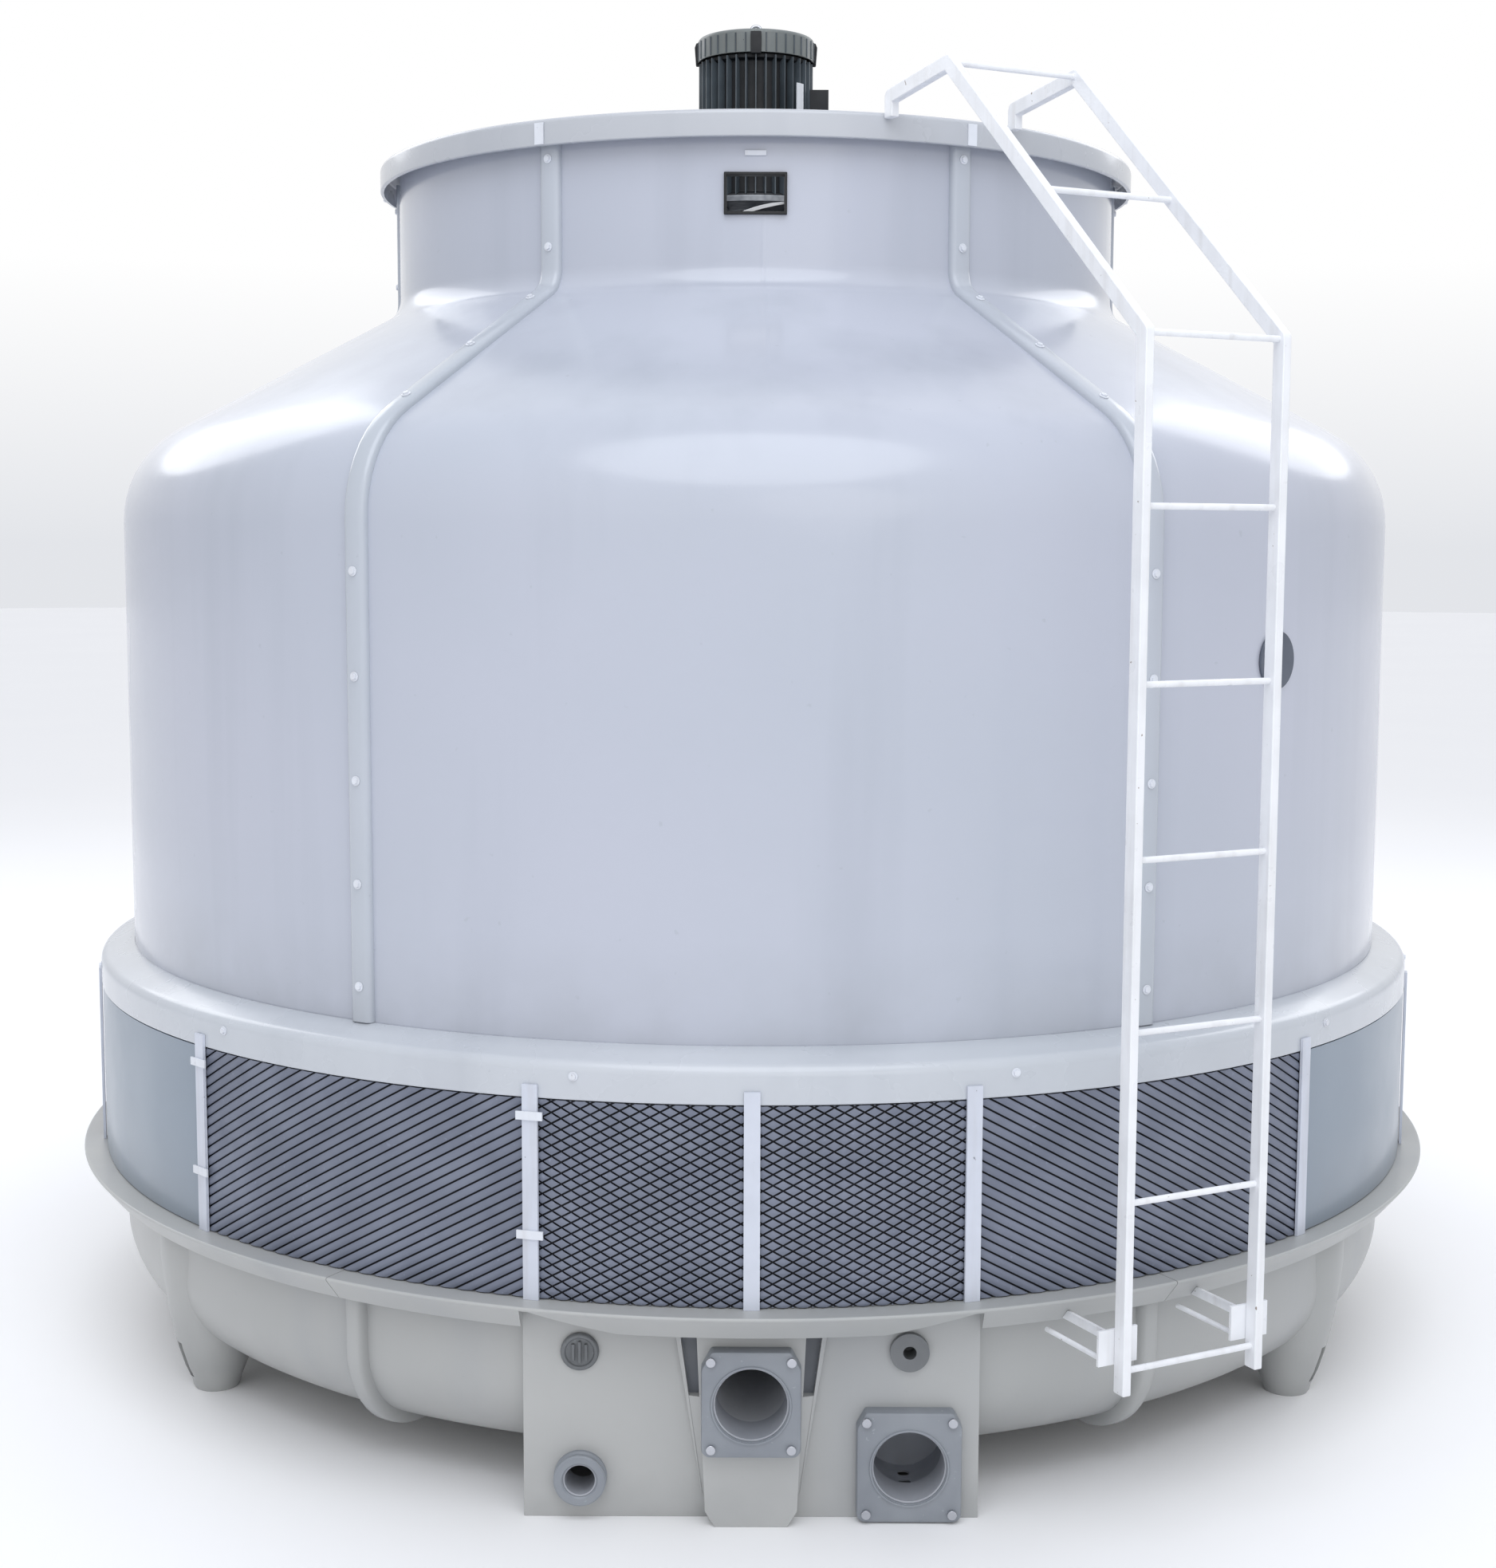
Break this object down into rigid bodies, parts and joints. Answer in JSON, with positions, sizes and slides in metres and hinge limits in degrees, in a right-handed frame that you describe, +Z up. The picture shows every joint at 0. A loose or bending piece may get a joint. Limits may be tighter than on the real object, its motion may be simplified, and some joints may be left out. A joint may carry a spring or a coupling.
{
  "type": "round cooling tower",
  "caption": "Round bottle-shaped fibreglass cooling tower with top fan and motor, mesh air inlet, water basin with front sump and pipe sockets, and a hooked service ladder.",
  "frame": {"origin": "on the tower's vertical axis, at floor level under the legs, in the middle of the anchor bolt rectangle", "axes": "+Z up, -Y towards the sump and its water connections, +X to the right seen from the front"},
  "size_m": [3.26, 3.2924, 3.071],
  "materials": {
    "casing": "glossy gel-coated fibreglass, light blue-grey",
    "skirt": "gel-coated fibreglass, pale grey",
    "basin": "satin gel-coated fibreglass, warm grey",
    "sump": "satin gel-coated fibreglass, warm grey",
    "connection": "moulded grey plastic",
    "cap": "moulded grey plastic",
    "port_glass": "smoked inspection cover",
    "window_rubber": "black rubber edging",
    "screen": "blue-grey plastic mesh",
    "post": "pale painted bar",
    "clip": "pale painted clip",
    "ladder": "white paint on steel",
    "fastener": "stainless steel",
    "motor": "black painted casting",
    "cowl": "grey painted sheet",
    "steel": "galvanised steel",
    "blade": "cast aluminium",
    "pipe": "grey plastic pipe",
    "fill": "dark plastic film",
    "float": "orange float",
    "brass": "brass rod"
  },
  "bodies": {
    "tower": {"casing_panel_1": "casing", "basin_segment_1": "basin", "casing_panel_2": "casing", "basin_segment_2": "basin", "casing_panel_3": "casing", "basin_segment_3": "basin", "casing_panel_4": "casing", "basin_segment_4": "basin", "casing_panel_5": "casing", "basin_segment_5": "basin", "casing_panel_6": "casing", "basin_segment_6": "basin", "seam_straps": "casing", "casing_bolts": "fastener", "stack_rim": "skirt", "window_frame": "window_rubber", "inspection_port": "port_glass", "skirt_ring": "skirt", "basin_legs": "basin", "sump_box": "sump", "inlet_flange": "connection", "outlet_flange": "connection", "flange_bolts": "fastener", "drain_socket": "connection", "makeup_valve": "connection", "strainer": "steel", "screen_front_left": "screen", "screen_front_right": "screen", "screen_left": "screen", "screen_right": "screen", "screens_rear": "screen", "screen_posts": "post", "casing_stays": "steel", "ladder_rails": "ladder", "ladder_rungs": "ladder", "ladder_brackets": "ladder", "motor_body": "motor", "motor_cowl": "cowl", "lifting_eye": "fastener", "terminal_box": "motor", "motor_mount": "steel", "support_arms": "steel", "riser_pipe": "pipe", "inlet_pipe": "pipe", "fill_lower": "fill", "fill_upper": "fill", "fill_support": "steel"},
    "fan_rotor": {"motor_shaft": "fastener", "cooling_fan": "cap", "fan_hub": "motor", "fan_blades": "blade"},
    "sprinkler": {"sprinkler_head": "pipe", "sprinkler_arms": "pipe"},
    "float": {"float_arm": "brass", "float_ball": "float"},
    "overflow_plug": {"overflow_plug": "cap"},
    "turn_clip_1": {"turn_clip_1": "clip"},
    "turn_clip_2": {"turn_clip_2": "clip"},
    "turn_clip_3": {"turn_clip_3": "clip"},
    "turn_clip_4": {"turn_clip_4": "clip"}
  },
  "joints": [
    {"name": "fan_spin", "type": "hinge", "parent": "tower", "child": "fan_rotor", "pos_m": [0, 0, 2.5], "axis": [0, 0, 1], "continuous": true},
    {"name": "sprinkler_spin", "type": "hinge", "parent": "tower", "child": "sprinkler", "pos_m": [0, 0, 1.87], "axis": [0, 0, 1], "continuous": true},
    {"name": "float_swing", "type": "hinge", "parent": "tower", "child": "float", "pos_m": [0.296, -1.426, 0.325], "axis": [1, 0, 0], "range_deg": [-25, 8]},
    {"name": "overflow_plug_draw", "type": "slide", "parent": "tower", "child": "overflow_plug", "axis": [0, -1, 0], "range_m": [0, 0.045]},
    {"name": "turn_clip_1_turn", "type": "hinge", "parent": "tower", "child": "turn_clip_1", "pos_m": [-1.11907, -1.11907, 0.78], "axis": [-0.7071, -0.7071, 0], "range_deg": [0, 90]},
    {"name": "turn_clip_2_turn", "type": "hinge", "parent": "tower", "child": "turn_clip_2", "pos_m": [-1.11907, -1.11907, 0.555], "axis": [-0.7071, -0.7071, 0], "range_deg": [0, 90]},
    {"name": "turn_clip_3_turn", "type": "hinge", "parent": "tower", "child": "turn_clip_3", "pos_m": [-0.40961, -1.52867, 0.78], "axis": [-0.2588, -0.9659, 0], "range_deg": [0, 90]},
    {"name": "turn_clip_4_turn", "type": "hinge", "parent": "tower", "child": "turn_clip_4", "pos_m": [-0.40961, -1.52867, 0.555], "axis": [-0.2588, -0.9659, 0], "range_deg": [0, 90]}
  ]
}
